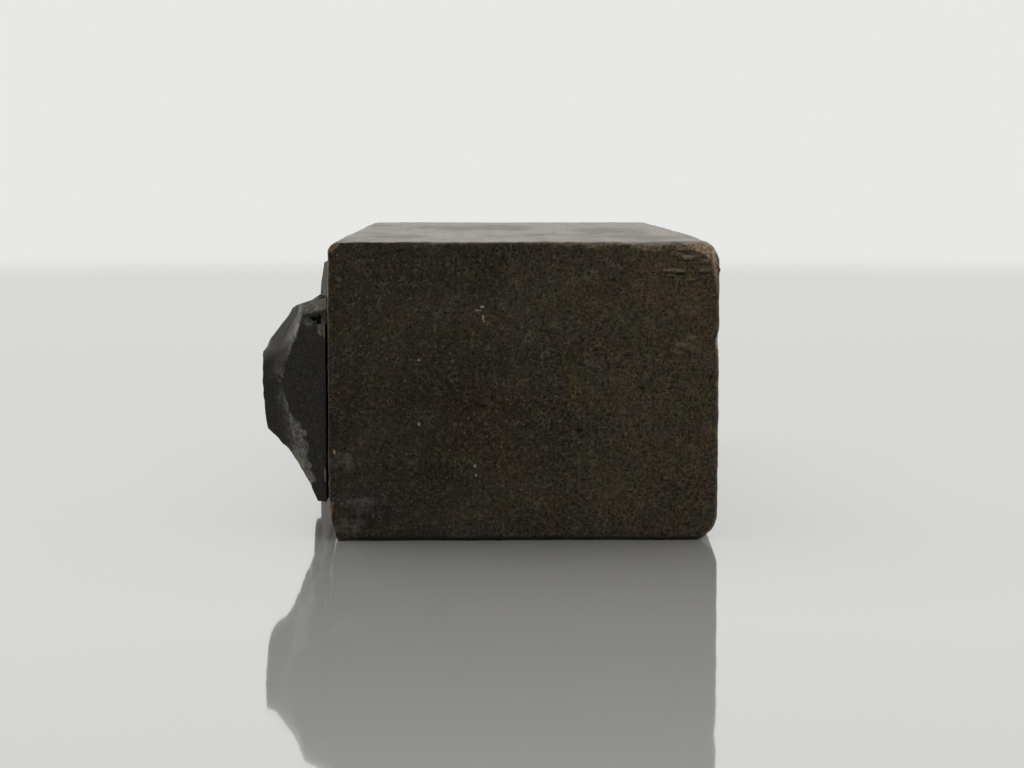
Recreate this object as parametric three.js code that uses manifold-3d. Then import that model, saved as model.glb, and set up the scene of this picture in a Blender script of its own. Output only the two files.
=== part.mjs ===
// Letterpress printing block: a cast type metal plate nailed to the side of a small hardwood block.
// Millimetres, +Z up. The block lies on one long side: Y runs along it from the near end, the
// printing face looks to -X and the back of the wood to +X.
import * as THREE from "three";
import { ConvexGeometry } from "three/addons/geometries/ConvexGeometry.js";
import { LoftGeometry } from "three/addons/geometries/LoftGeometry.js";
import { mergeVertices } from "three/addons/utils/BufferGeometryUtils.js";
import Module from "manifold-3d";

const wasm = await Module();
wasm.setup();

// Wood block, with its worn long edges
const WOOD_THICKNESS = 20;
const WOOD_WIDTH = 15.4;
const WOOD_LENGTH = 45;
const WOOD_END_CHAMFER = 0.25;
const PLATE_SIDE_TOP_ROUND = 0.7;
const BACK_TOP_ROUND = 1.3;
const BACK_FOOT_ROUND = 0.9;
const PLATE_SIDE_FOOT_WEAR_WIDTH = 0.4;
const PLATE_SIDE_FOOT_WEAR_HEIGHT = 1.9;
const ROUND_EDGE_STEPS = 8;

// Printing plate: its place on the wood, its cast body and the trimmed long edges
const PLATE_SEAT_GAP = 0.1;
const PLATE_TOP_MARGIN = 2.8;
const PLATE_FOOT_MARGIN = 2;
const PLATE_FRONT_INSET = 0.3;
const PLATE_REAR_INSET = 1.2;
const PLATE_BODY_THICKNESS = 2.7;
const PLATE_EDGE_SLOPE = 0.12;
const UPPER_LIP_HEIGHT = 1.65;
const UPPER_LIP_SLOPE = 0.65;
const UPPER_BEVEL_WIDTH = 1.9;
const WAIST_DEPTH = 0.45;
const LOWER_FLANGE_FRONT_HEIGHT = 0.8;
const LOWER_FLANGE_REAR_HEIGHT = 1.5;
const LOWER_FLANGE_RISE = 0.1;
const LOWER_FLANGE_WIDTH = 0.8;
const LOWER_BEVEL_WIDTH = 3.3;
const LOWER_SHOULDER_DROP = 0.5;
const LOWER_SHOULDER_WIDTH = 0.6;
const LOWER_WAIST_DEPTH = 0.9;

// Untrimmed head at the far end of the plate
const HEAD_LENGTH = 9.2;
const HEAD_TOP_RISE = 0.45;

// Three chisel facets that meet in a point at the near end
const FRONT_FACET_RUN = 1.7;
const FACET_POINT_ABOVE_CENTRE = 0.8;
const FACET_CORNER_HEIGHT = 1.4;
const UPPER_FACET_CORNER_INSET = 1.1;
const UPPER_FACET_BACK_HEIGHT = 1.9;
const UPPER_FACET_BACK_INSET = 0.8;
const UPPER_FACET_LENGTH = 2.6;
const LOWER_FACET_CORNER_INSET = 3.6;
const LOWER_FACET_BACK_HEIGHT = 1.95;
const LOWER_FACET_BACK_INSET = 2.35;
const LOWER_FACET_LENGTH = 2.5;

// Raised printing figures: a solid toe at the near end, a ruled band of lozenges and dots, and a
// ringed rosette on the head
const RELIEF_HEIGHT = 0.65;
const RELIEF_DRAFT = 0.35;
const RELIEF_ROOT = 0.6;
const RULE_WIDTH = 0.4;
const TOE_FRONT_INSET = 2.2;
const TOE_LENGTH = 4.7;
const TOE_WIDTH = 4.3;
const TOE_FOOT_MARGIN = 0.15;
const TOE_CORNER_CUT = 0.75;
const TOE_TO_BAND_GAP = 0.6;
const BAND_WIDTH = 2.5;
const BAND_TOP_MARGIN = 0.3;
const BAND_CORNER_CUT = 0.5;
const BAND_TO_HEAD_GAP = 0.6;
const LOZENGE_LENGTH = 1.6;
const LOZENGE_WIDTH = 0.65;
const LOZENGE_PITCH = 2.5;
const DOT_DIAMETER = 0.4;
const RING_DIAMETER = 5.2;
const RING_BELOW_BAND_CENTRE = 1.05;
const PETAL_COUNT = 8;
const PETAL_LENGTH = 0.9;
const PETAL_WIDTH = 0.42;
const PETAL_CENTRE_RADIUS = 1.18;
const ROSETTE_EYE_DIAMETER = 0.6;
const RING_SIDES = 48;
const DOT_SIDES = 16;

// Brads that hold the plate down, their holes and their sunk seats
const BRAD_SHANK_DIAMETER = 0.9;
const BRAD_HEAD_DIAMETER = 1.6;
const BRAD_HEAD_THICKNESS = 0.3;
const BRAD_HEAD_DOME = 0.12;
const BRAD_LENGTH = 10;
const BRAD_POINT_LENGTH = 1.4;
const BRAD_CLEARANCE = 0.05;
const BRAD_SEAT_CLEARANCE = 0.12;
const BRAD_SEAT_HEIGHT = 1;
const BRAD_TOP_EDGE_INSET = 1.15;
const BRAD_FOOT_EDGE_INSET = 1.2;
const UPPER_FRONT_BRAD_INSET = 1.6;
const LOWER_FRONT_BRAD_INSET = 8;
const MIDDLE_BRAD_INSET = 20;
const REAR_BRAD_INSET = 1.3;
const BRAD_SIDES = 20;

// Places that follow from the sizes, in a bench frame: X from the wood's plate side,
// Y from the near end of the wood, Z from the table
const plateFoot = PLATE_FOOT_MARGIN;
const plateTop = WOOD_WIDTH - PLATE_TOP_MARGIN;
const plateFront = PLATE_FRONT_INSET;
const plateRear = WOOD_LENGTH - PLATE_REAR_INSET;
const headFront = plateRear - HEAD_LENGTH;
const headTop = plateTop + HEAD_TOP_RISE;
const bodyFoot = plateFoot + LOWER_BEVEL_WIDTH;
const bodyTop = plateTop - UPPER_BEVEL_WIDTH;
const toeFront = plateFront + TOE_FRONT_INSET;
const toeRear = toeFront + TOE_LENGTH;
const toeCentre = bodyFoot + TOE_FOOT_MARGIN + TOE_WIDTH / 2;
const bandCentre = bodyTop - WAIST_DEPTH - BAND_TOP_MARGIN - BAND_WIDTH / 2;
const printingHeight = PLATE_BODY_THICKNESS + RELIEF_HEIGHT;
const reliefRoot = PLATE_BODY_THICKNESS - RELIEF_ROOT;
const typeHeight = WOOD_THICKNESS + PLATE_SEAT_GAP + printingHeight;
const wellOutside = typeHeight + WOOD_LENGTH;
const bradSeat = PLATE_SEAT_GAP + BRAD_SEAT_HEIGHT;
const bradHeadUnderside = bradSeat + BRAD_CLEARANCE;
const bradTip = bradHeadUnderside - BRAD_LENGTH;
const bradHole = BRAD_SHANK_DIAMETER + 2 * BRAD_CLEARANCE;

const woodFinish = new THREE.MeshStandardMaterial({ color: 0x2e2821, roughness: 0.6, metalness: 0 });
const plateFinish = new THREE.MeshStandardMaterial({ color: 0x4a4945, roughness: 0.5, metalness: 0.8 });
const bradFinish = new THREE.MeshStandardMaterial({ color: 0x5a4a3c, roughness: 0.55, metalness: 0.8 });

// A closed three.js geometry as a solid that can be joined and cut
function solidOf(geometry) {
  const bare = geometry.index ? geometry.toNonIndexed() : geometry.clone();
  bare.deleteAttribute("normal");
  bare.deleteAttribute("uv");
  const merged = mergeVertices(bare);
  const vertProperties = new Float32Array(merged.attributes.position.array);
  const triVerts = new Uint32Array(merged.index.array);
  return new wasm.Manifold(new wasm.Mesh({ numProp: 3, vertProperties, triVerts }));
}

function namedMesh(name, solid, material) {
  const { vertProperties, triVerts } = solid.getMesh();
  const geometry = new THREE.BufferGeometry();
  geometry.setAttribute("position", new THREE.BufferAttribute(vertProperties, 3));
  geometry.setIndex(new THREE.BufferAttribute(triVerts, 1));
  geometry.computeVertexNormals();
  const mesh = new THREE.Mesh(geometry, material);
  mesh.name = name;
  return mesh;
}

// A point of the plate: its height above the plate's underside, its distance along the block
// and its height above the table
function onPlate(height, along, up) {
  return new THREE.Vector3(-PLATE_SEAT_GAP - height, along, up);
}

// A round hole square to the wood's plate side, between two heights above that side
function drilled(diameter, low, high, { along, up }) {
  const drill = new THREE.CylinderGeometry(diameter / 2, diameter / 2, high - low, BRAD_SIDES);
  drill.rotateZ(Math.PI / 2);
  drill.translate(-(low + high) / 2, along, up);
  return solidOf(drill);
}

// Three brads along each long edge of the plate, upper edge first
function bradPlaces() {
  const upper = plateTop - BRAD_TOP_EDGE_INSET;
  const lower = plateFoot + BRAD_FOOT_EDGE_INSET;
  const middle = plateFront + MIDDLE_BRAD_INSET;
  const rear = plateRear - REAR_BRAD_INSET;
  return [
    { along: plateFront + UPPER_FRONT_BRAD_INSET, up: upper },
    { along: middle, up: upper },
    { along: rear, up: upper },
    { along: plateFront + LOWER_FRONT_BRAD_INSET, up: lower },
    { along: middle, up: lower },
    { along: rear, up: lower },
  ];
}

function woodOutline() {
  const quarter = Math.PI / 2;
  const outline = new THREE.Shape();
  outline.moveTo(PLATE_SIDE_FOOT_WEAR_WIDTH, 0);
  outline.lineTo(WOOD_THICKNESS - BACK_FOOT_ROUND, 0);
  outline.absarc(WOOD_THICKNESS - BACK_FOOT_ROUND, BACK_FOOT_ROUND, BACK_FOOT_ROUND, -quarter, 0);
  outline.absarc(
    WOOD_THICKNESS - BACK_TOP_ROUND,
    WOOD_WIDTH - BACK_TOP_ROUND,
    BACK_TOP_ROUND,
    0,
    quarter,
  );
  outline.absarc(
    PLATE_SIDE_TOP_ROUND,
    WOOD_WIDTH - PLATE_SIDE_TOP_ROUND,
    PLATE_SIDE_TOP_ROUND,
    quarter,
    2 * quarter,
  );
  outline.lineTo(0, PLATE_SIDE_FOOT_WEAR_HEIGHT);
  outline.closePath();
  return outline;
}

function woodBlock() {
  const grain = new THREE.ExtrudeGeometry(woodOutline(), {
    depth: WOOD_LENGTH - 2 * WOOD_END_CHAMFER,
    bevelThickness: WOOD_END_CHAMFER,
    bevelSize: WOOD_END_CHAMFER,
    bevelOffset: -WOOD_END_CHAMFER,
    bevelSegments: 1,
    curveSegments: ROUND_EDGE_STEPS,
  });
  grain.rotateX(Math.PI / 2);
  grain.translate(0, WOOD_LENGTH - WOOD_END_CHAMFER, 0);
  let block = solidOf(grain);
  for (const place of bradPlaces()) {
    block = block.subtract(drilled(bradHole, bradTip - BRAD_CLEARANCE, PLATE_SEAT_GAP, place));
  }
  return block;
}

function lofted(sections) {
  return solidOf(new LoftGeometry(sections, { capStart: true, capEnd: true }));
}

// One cross section of the trimmed plate, from its lower edge over the top to its upper edge.
// The flange is the thickness left at the lower edge, and the waists draw in the two bevels.
function trimmedSection(along, flange, waist, lowerWaist) {
  const lip = plateTop - UPPER_LIP_SLOPE - waist;
  const foot = bodyFoot + lowerWaist;
  const shoulder = PLATE_BODY_THICKNESS - LOWER_SHOULDER_DROP;
  return [
    onPlate(0, along, plateFoot),
    onPlate(flange, along, plateFoot + PLATE_EDGE_SLOPE),
    onPlate(flange + LOWER_FLANGE_RISE, along, plateFoot + LOWER_FLANGE_WIDTH),
    onPlate(shoulder, along, foot - LOWER_SHOULDER_WIDTH),
    onPlate(PLATE_BODY_THICKNESS, along, foot),
    onPlate(PLATE_BODY_THICKNESS, along, bodyTop - waist),
    onPlate(UPPER_LIP_HEIGHT, along, lip),
    onPlate(0, along, plateTop),
  ];
}

function headSection(along) {
  return [
    onPlate(0, along, plateFoot),
    onPlate(PLATE_BODY_THICKNESS, along, plateFoot + PLATE_EDGE_SLOPE),
    onPlate(PLATE_BODY_THICKNESS, along, headTop - PLATE_EDGE_SLOPE),
    onPlate(0, along, headTop),
  ];
}

// What a chisel takes off the near end: all that lies in front of the plane through three points
function chiselled(first, second, third) {
  const outward = new THREE.Plane().setFromCoplanarPoints(first, second, third).normal;
  if (outward.y > 0) {
    outward.negate();
  }
  const offcut = new THREE.BoxGeometry(wellOutside, wellOutside, wellOutside);
  offcut.translate(0, wellOutside / 2, 0);
  offcut.applyQuaternion(new THREE.Quaternion().setFromUnitVectors(THREE.Object3D.DEFAULT_UP, outward));
  offcut.translate(first.x, first.y, first.z);
  return solidOf(offcut);
}

function nearEndOffcuts() {
  const onFrontFacet = (height, up) =>
    onPlate(height, plateFront + (FRONT_FACET_RUN * height) / PLATE_BODY_THICKNESS, up);
  const plateCentre = (plateFoot + plateTop) / 2;
  const point = onFrontFacet(PLATE_BODY_THICKNESS, plateCentre + FACET_POINT_ABOVE_CENTRE);
  const upperCorner = onFrontFacet(FACET_CORNER_HEIGHT, plateTop - UPPER_FACET_CORNER_INSET);
  const lowerCorner = onFrontFacet(FACET_CORNER_HEIGHT, plateFoot + LOWER_FACET_CORNER_INSET);
  const upperBack = onPlate(
    UPPER_FACET_BACK_HEIGHT,
    plateFront + UPPER_FACET_LENGTH,
    plateTop - UPPER_FACET_BACK_INSET,
  );
  const lowerBack = onPlate(
    LOWER_FACET_BACK_HEIGHT,
    plateFront + LOWER_FACET_LENGTH,
    plateFoot + LOWER_FACET_BACK_INSET,
  );
  return {
    front: chiselled(onFrontFacet(0, plateFoot), onFrontFacet(0, plateTop), point),
    upper: chiselled(point, upperCorner, upperBack),
    lower: chiselled(point, lowerCorner, lowerBack),
  };
}

// A printing figure whose walls flare out towards the plate. Its outline is a function of how far
// it has flared, and gives points as distance along the block and height above the table.
function raised(outlineAt) {
  const flare = RELIEF_DRAFT * (printingHeight - reliefRoot);
  return between(outlineAt(flare), reliefRoot, outlineAt(0), printingHeight);
}

// The hollow inside a rule, narrowing towards the plate and open above the printing face
function counter(outlineAt) {
  const flare = RELIEF_DRAFT * (printingHeight - reliefRoot);
  const opening = printingHeight + RELIEF_HEIGHT;
  return between(outlineAt(-flare), reliefRoot, outlineAt(RELIEF_DRAFT * RELIEF_HEIGHT), opening);
}

function between(lowOutline, low, highOutline, high) {
  const lowCorners = lowOutline.map(([along, up]) => onPlate(low, along, up));
  const highCorners = highOutline.map(([along, up]) => onPlate(high, along, up));
  return solidOf(new ConvexGeometry([...lowCorners, ...highCorners]));
}

function disc(along, up, radius, sides) {
  return (flare) =>
    Array.from({ length: sides }, (_, i) => {
      const angle = (2 * Math.PI * i) / sides;
      return [along + (radius + flare) * Math.cos(angle), up + (radius + flare) * Math.sin(angle)];
    });
}

// A lozenge with its long diagonal at an angle from the block's length
function lozenge(along, up, length, width, angle) {
  const cos = Math.cos(angle);
  const sin = Math.sin(angle);
  return (flare) => {
    const far = length / 2 + flare;
    const wide = width / 2 + flare;
    const tips = [
      [far, 0],
      [0, wide],
      [-far, 0],
      [0, -wide],
    ];
    return tips.map(([a, u]) => [along + a * cos - u * sin, up + a * sin + u * cos]);
  };
}

// A long panel with cut corners
function panel(front, rear, centre, halfWidth, cornerCut) {
  return (flare) => {
    const low = centre - halfWidth - flare;
    const high = centre + halfWidth + flare;
    const near = front - flare;
    const far = rear + flare;
    return [
      [near, low + cornerCut],
      [near + cornerCut, low],
      [far - cornerCut, low],
      [far, low + cornerCut],
      [far, high - cornerCut],
      [far - cornerCut, high],
      [near + cornerCut, high],
      [near, high - cornerCut],
    ];
  };
}

function toeRelief() {
  return raised(panel(toeFront, toeRear, toeCentre, TOE_WIDTH / 2, TOE_CORNER_CUT));
}

function bandRelief() {
  const front = toeRear + TOE_TO_BAND_GAP;
  const rear = headFront - BAND_TO_HEAD_GAP;
  const half = BAND_WIDTH / 2;
  const innerHalf = half - RULE_WIDTH;
  const inner = panel(front + RULE_WIDTH, rear - RULE_WIDTH, bandCentre, innerHalf, BAND_CORNER_CUT);
  let relief = raised(panel(front, rear, bandCentre, half, BAND_CORNER_CUT)).subtract(counter(inner));
  const room = rear - front - 2 * RULE_WIDTH - LOZENGE_LENGTH;
  const steps = Math.max(1, Math.floor(room / LOZENGE_PITCH));
  const first = (front + rear - steps * LOZENGE_PITCH) / 2;
  for (let i = 0; i <= steps; i += 1) {
    const along = first + i * LOZENGE_PITCH;
    relief = relief.add(raised(lozenge(along, bandCentre, LOZENGE_LENGTH, LOZENGE_WIDTH, 0)));
    if (i < steps) {
      const halfway = along + LOZENGE_PITCH / 2;
      relief = relief.add(raised(disc(halfway, bandCentre, DOT_DIAMETER / 2, DOT_SIDES)));
    }
  }
  return relief;
}

function headRelief() {
  const along = (headFront + plateRear) / 2;
  const up = bandCentre - RING_BELOW_BAND_CENTRE;
  const inner = disc(along, up, RING_DIAMETER / 2 - RULE_WIDTH, RING_SIDES);
  let relief = raised(disc(along, up, RING_DIAMETER / 2, RING_SIDES)).subtract(counter(inner));
  for (let i = 0; i < PETAL_COUNT; i += 1) {
    const angle = (2 * Math.PI * i) / PETAL_COUNT;
    const petalAlong = along + PETAL_CENTRE_RADIUS * Math.cos(angle);
    const petalUp = up + PETAL_CENTRE_RADIUS * Math.sin(angle);
    relief = relief.add(raised(lozenge(petalAlong, petalUp, PETAL_LENGTH, PETAL_WIDTH, angle)));
  }
  return relief.add(raised(disc(along, up, ROSETTE_EYE_DIAMETER / 2, DOT_SIDES)));
}

function printingPlate() {
  let plate = lofted([
    trimmedSection(plateFront, LOWER_FLANGE_FRONT_HEIGHT, 0, 0),
    trimmedSection(headFront + PLATE_EDGE_SLOPE, LOWER_FLANGE_REAR_HEIGHT, WAIST_DEPTH, LOWER_WAIST_DEPTH),
  ]);
  const offcuts = nearEndOffcuts();
  plate = plate.subtract(offcuts.front).subtract(offcuts.lower).add(toeRelief()).subtract(offcuts.upper);
  plate = plate.add(lofted([headSection(headFront), headSection(plateRear)]));
  plate = plate.add(bandRelief()).add(headRelief());
  const seatHole = BRAD_HEAD_DIAMETER + 2 * BRAD_SEAT_CLEARANCE;
  for (const place of bradPlaces()) {
    plate = plate.subtract(drilled(bradHole, 0, bradSeat + BRAD_CLEARANCE, place));
    plate = plate.subtract(drilled(seatHole, bradSeat, wellOutside, place));
  }
  return plate;
}

function brad({ along, up }) {
  const shank = BRAD_SHANK_DIAMETER / 2;
  const head = BRAD_HEAD_DIAMETER / 2;
  const rim = bradHeadUnderside + BRAD_HEAD_THICKNESS;
  const profile = [
    new THREE.Vector2(0, bradTip),
    new THREE.Vector2(shank, bradTip + BRAD_POINT_LENGTH),
    new THREE.Vector2(shank, bradHeadUnderside),
    new THREE.Vector2(head, bradHeadUnderside),
    new THREE.Vector2(head, rim),
    new THREE.Vector2(head / 2, rim + BRAD_HEAD_DOME),
    new THREE.Vector2(0, rim + BRAD_HEAD_DOME),
  ];
  const turned = new THREE.LatheGeometry(profile, BRAD_SIDES);
  turned.rotateZ(Math.PI / 2);
  turned.translate(0, along, up);
  return solidOf(turned);
}

const printingBlock = new THREE.Group();
printingBlock.add(namedMesh("wood_block", woodBlock(), woodFinish));
printingBlock.add(namedMesh("printing_plate", printingPlate(), plateFinish));
bradPlaces().forEach((place, i) => {
  printingBlock.add(namedMesh(`brad_${i + 1}`, brad(place), bradFinish));
});
printingBlock.position.set(typeHeight / 2 - WOOD_THICKNESS, -WOOD_LENGTH / 2, 0);

export default printingBlock;
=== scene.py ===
"""Letterpress printing block: a worn hardwood mount, a cast metal plate with ornament, and its brads."""

import math

import bpy
import numpy as np
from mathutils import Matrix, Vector


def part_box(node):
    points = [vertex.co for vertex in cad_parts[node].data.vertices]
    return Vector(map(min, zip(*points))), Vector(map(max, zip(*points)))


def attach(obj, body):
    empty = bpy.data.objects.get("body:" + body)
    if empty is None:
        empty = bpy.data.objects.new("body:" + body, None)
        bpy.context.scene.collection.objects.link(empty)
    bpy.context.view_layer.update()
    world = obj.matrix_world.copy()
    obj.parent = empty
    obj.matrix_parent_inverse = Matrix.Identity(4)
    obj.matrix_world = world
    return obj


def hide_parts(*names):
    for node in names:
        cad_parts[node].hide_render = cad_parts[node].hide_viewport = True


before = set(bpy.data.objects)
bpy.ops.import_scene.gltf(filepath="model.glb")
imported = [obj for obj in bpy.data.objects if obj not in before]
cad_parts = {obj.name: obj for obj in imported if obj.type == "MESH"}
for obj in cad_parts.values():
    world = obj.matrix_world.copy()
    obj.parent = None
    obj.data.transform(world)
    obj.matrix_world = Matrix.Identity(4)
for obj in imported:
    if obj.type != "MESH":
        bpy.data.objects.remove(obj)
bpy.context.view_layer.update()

MM = 0.001

# The bench frame of every number below, in millimetres: X from the wood's plate side into the wood,
# Y from the near end of the wood, Z up from the table. A height on the plate is a distance to -X.
WOOD_CORNER, WOOD_FAR_CORNER = (np.array(corner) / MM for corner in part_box("wood_block"))
WOOD_THICKNESS, WOOD_LENGTH, WOOD_WIDTH = WOOD_FAR_CORNER - WOOD_CORNER
PLATE_CORNER, PLATE_FAR_CORNER = (
    np.array(corner) / MM - WOOD_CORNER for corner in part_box("printing_plate")
)

# Camera, as the photograph was taken
CAMERA_PLACE = (7.47, -112.2, 18.87)
CAMERA_PITCH = 5.467
CAMERA_YAW = 1.0
FOCAL_PIXELS = 2200
PHOTO_WIDTH = 1024
SENSOR_WIDTH = 36

# A stretch says where something sets in: where it is nothing yet, and where it is whole.
EVERYWHERE = (-2, -1)

# Wood: rounding of each long edge at the near end and far from it, how far the near end's wear reaches,
# and how much the rounding wanders
PLATE_TOP_EDGE = (0.7, 0.7, 9, 0.1)
PLATE_FOOT_EDGE = (0.35, 0.35, 9, 0.05)
BACK_TOP_EDGE = (0.95, 0.55, 9, 0.12)
BACK_FOOT_EDGE = (1.35, 0.8, 2.5, 0.12)
BACK_GROWTH = 0.06
FOOT_WEAR_WIDTH = 0.3
FOOT_WEAR_HEIGHT = 1.9
FOOT_WEAR_WANDER = 0.1
END_ROUND = 0.2
END_WANDER = 0.08
FAR_END_ROUND = 0.35
LEAST_ROUND = 0.08
NEAR_WEAR_REACH = 2.5
SKELETON_INSET = 2.2
SETTLING_ROUNDS = 24
SETTLING_STEP = 0.9
# Edges of the near end that are worn rounder: by how much, and over which stretches across and up. The
# first is the top edge, which is ragged too.
NEAR_END_WEAR = (
    (0.5, (9, 18), (14, 15)),
    (0.14, (18.4, 19.6), EVERYWHERE),
    (0.26, (18.4, 19.6), (12.4, 14.6)),
    (0.12, EVERYWHERE, (0.8, 0.3)),
    (0.2, (0.5, 0.2), (2.4, 1.9)),
)
TOP_EDGE_RAGGED = 5
# Chips knocked out of the wood: centre and radius of the hollow
WOOD_CHIPS = (
    ((20.75, 0.2, 10.3), 0.85), ((20.4, -0.85, 14.5), 1.1), ((19.3, -0.95, 16.1), 1.15),
    ((-0.25, -0.85, 15.95), 1.42), ((-0.35, -0.4, 1.1), 0.62), ((20.6, 17.0, 15.9), 1.3),
    ((20.7, 33.5, 0.0), 1.1), ((-0.6, 29.0, 15.9), 1.0), ((8.5, 45.9, 15.8), 1.1),
)
# A splinter standing out of the back edge
SPLINTER_PLACE = (20.05, 0.25, 13.95)
SPLINTER_SIZE = 0.13
SPLINTER_HEIGHT = 0.12
# Cracks in the near end grain: height above the table, first and last place across, depth
END_CRACKS = (
    (15.0, 17.4, 18.6, 0.2), (14.72, 17.4, 18.1, 0.15), (14.56, 17.8, 18.9, 0.25),
    (14.28, 18.9, 19.7, 0.2), (13.84, 17.0, 18.4, 0.22), (13.82, 18.8, 19.6, 0.2),
    (13.6, 17.2, 17.9, 0.15), (13.4, 18.1, 19.0, 0.12), (10.38, 18.2, 19.0, 0.14),
    (10.1, 17.5, 18.7, 0.15), (9.84, 18.0, 19.0, 0.12), (9.6, 17.5, 18.3, 0.1),
)
CRACK_WIDTH = 0.065
CRACK_OPENING = 1.4
CRACK_WAVER = 0.06
# A crack this deep has a fully pale upper lip, so many crack widths above it.
CRACK_DEEP = 0.2
CRACK_LIP_RISE = 1.9
# Marks on the near end grain: place, reach across and up
RUDDY_PATCHES = (((7.9, 6.4), (2.8, 2.4)), ((0.7, 7.4), (0.6, 1.0)), ((9.3, 3.9), (1.8, 1.4)))
GREY_SMUDGES = (
    ((1.6, 3.4), (1.7, 1.3)), ((1.5, 1.8), (2.2, 1.8)), ((3.4, 1.2), (3.2, 1.3)),
    ((14.6, 0.6), (3.6, 0.8)), ((8.5, 0.2), (6.0, 0.5)),
)
PALE_SMUDGES = (
    ((0.7, 4.1), (0.85, 0.6)), ((1.7, 1.9), (1.0, 0.45)), ((1.25, 1.15), (0.9, 0.5)),
    ((0.9, 0.65), (0.9, 0.35)),
)
PALE_SPECKS = (
    ((7.53, 3.9), (0.1, 0.1)), ((7.58, 3.43), (0.08, 0.12)), ((4.66, 6.08), (0.1, 0.1)),
    ((4.67, 9.37), (0.1, 0.08)), ((0.3, 4.65), (0.1, 0.14)), ((7.9, 12.1), (0.12, 0.12)),
    ((7.72, 11.9), (0.2, 0.05)), ((7.97, 11.5), (0.06, 0.22)),
)
# The pits are painted shade, dark where the wood has no dent.
PAINTED_PIT_SHADE = (((12.9, 5.75), (0.24, 0.15)), ((7.96, 7.0), (0.26, 0.1)), ((16.1, 7.9), (0.18, 0.13)))

# Plate: underside, field below the figures, and printing face
SEAT_GAP = -PLATE_FAR_CORNER[0]
PRINTING_HEIGHT = -PLATE_CORNER[0]
RELIEF_HEIGHT = 0.65
FIELD_HEIGHT = PRINTING_HEIGHT - RELIEF_HEIGHT
PLATE_FRONT = PLATE_CORNER[1]
PLATE_REAR = PLATE_FAR_CORNER[1]
PLATE_FOOT = PLATE_CORNER[2]
HEAD_TOP = PLATE_FAR_CORNER[2]
HEAD_RISE = 0.45
PLATE_TOP = HEAD_TOP - HEAD_RISE
HEAD_LENGTH = 9.2
HEAD_FRONT = PLATE_REAR - HEAD_LENGTH
EDGE_SLOPE = 0.12
EDGE_FOOT = 0.6
HEAD_EDGE_ROUND = 0.15
HEAD_SLOPE = 0.13
HEAD_SLOPE_FOOT = 10.6
ARRIS_ROUND = 0.07
LEAST_METAL = 0.07
PLATE_CREASE = math.radians(50)
# At the near end the plate lies a little off the wood, and nearly touches it near its top edge.
NEAR_GAP = 0.13
TOUCHING_GAP = 0.01
NEAR_GAP_ALONG = (8, 5)
TOUCHING_UP = (11.1, 11.35)
# Section of the near end: height above the table, height above the wood
SECTION = (
    (2.0, 0.62), (2.18, 0.68), (2.43, 0.82), (2.82, 0.96), (3.55, 1.52), (4.34, 2.02), (4.66, 2.28),
    (4.71, 2.46), (5.14, 2.8), (5.32, 3.06), (5.56, 3.34), (6.0, 3.45), (7.25, 3.53), (8.09, 3.58),
    (9.6, 3.58), (10.03, 3.43), (10.46, 3.07), (10.88, 2.76), (11.31, 2.42), (11.74, 2.18), (12.1, 1.1),
    (12.6, 0.2),
)
# Behind the near end the upper bevel draws in downwards and the lower one upwards: by how much, and over
# which stretches along and up
WAISTS = ((0.45, (7, 14), (8, 10.5), EVERYWHERE), (-0.55, (5, 10), (2.5, 4), (7, 5)))
# A toe at the near end stands a little above printing height.
TOE_REAR = 7.2
TOE_STEP = 0.25
TOE_HEIGHT = PRINTING_HEIGHT + 0.12
# The front facet rises from the wood at this distance from the near end, by this run for each millimetre
# of height, up to this height above the wood at each height above the table.
FRONT_FOOT = 0.35
FRONT_RUN = 0.57
FRONT_REACH = (
    (2.0, 0.8), (3.6, 0.92), (4.75, 1.05), (5.6, 1.4), (6.6, 2.17), (7.54, 2.45), (8.15, 2.63),
    (8.75, 2.38), (9.65, 2.08), (10.55, 1.69), (11.1, 1.5), (11.6, 1.42), (12.6, 1.3),
)
# Below the nose a scraped facet lies behind the front facet, up to this height above the wood. Its rear
# edge is jagged, less so towards the nose.
SCRAPED_REACH = ((4.6, 2.4), (4.95, 1.82), (5.5, 1.97), (5.95, 2.1), (6.6, 2.17))
SCRAPED_RISE = 1.0
JAGGED_DEPTH = 0.1
JAGGED_UP = (6.6, 5.6)
NOSE_RISE = 1.5
NOSE_TOP = 8.15
# Above the nose the upper facet runs back from it: height above the table, distance from the near end
UPPER_BACK = ((8.15, 2.42), (9.25, 2.7), (9.55, 3.3), (9.75, 4.3), (10.05, 5.0), (12.6, 5.0))
# Near the front the plate's top edge stands out from the section: height above the table, height above
# the wood
TOP_EDGE = ((11.74, 2.18), (11.92, 1.93), (12.13, 1.43), (12.34, 0.93), (12.6, 0.55))
TOP_EDGE_ALONG = (5, 2.5)
# The lip slopes back from the top of the front facet: a place on it (along, up, height), and its rise
# above the wood for each millimetre up and along
LIP_PLACE = (1.15, 11.6, 1.41)
LIP_RISE_UP = -1.49
LIP_RISE_ALONG = 1.043
# How bare the metal is on the parts of the near end. The shares are partly bare cut metal and partly
# painted
# light: each facet is painted lighter or darker as light falls on it, with a painted highlight on the
# lower ridge.
UPPER_BARE_AND_PAINTED_LIGHT = 0.95
RIDGE_FOOT_BARE_AND_PAINTED_LIGHT = 0.22
BELOW_NOSE_BARE_AND_PAINTED_LIGHT = 0.2
SCRAPED_BARE_AND_PAINTED_LIGHT = 0.47
LIP_BARE_AND_PAINTED_LIGHT = 0.37
LOWER_RIDGE_BARE_AND_HIGHLIGHT = 0.45
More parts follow.
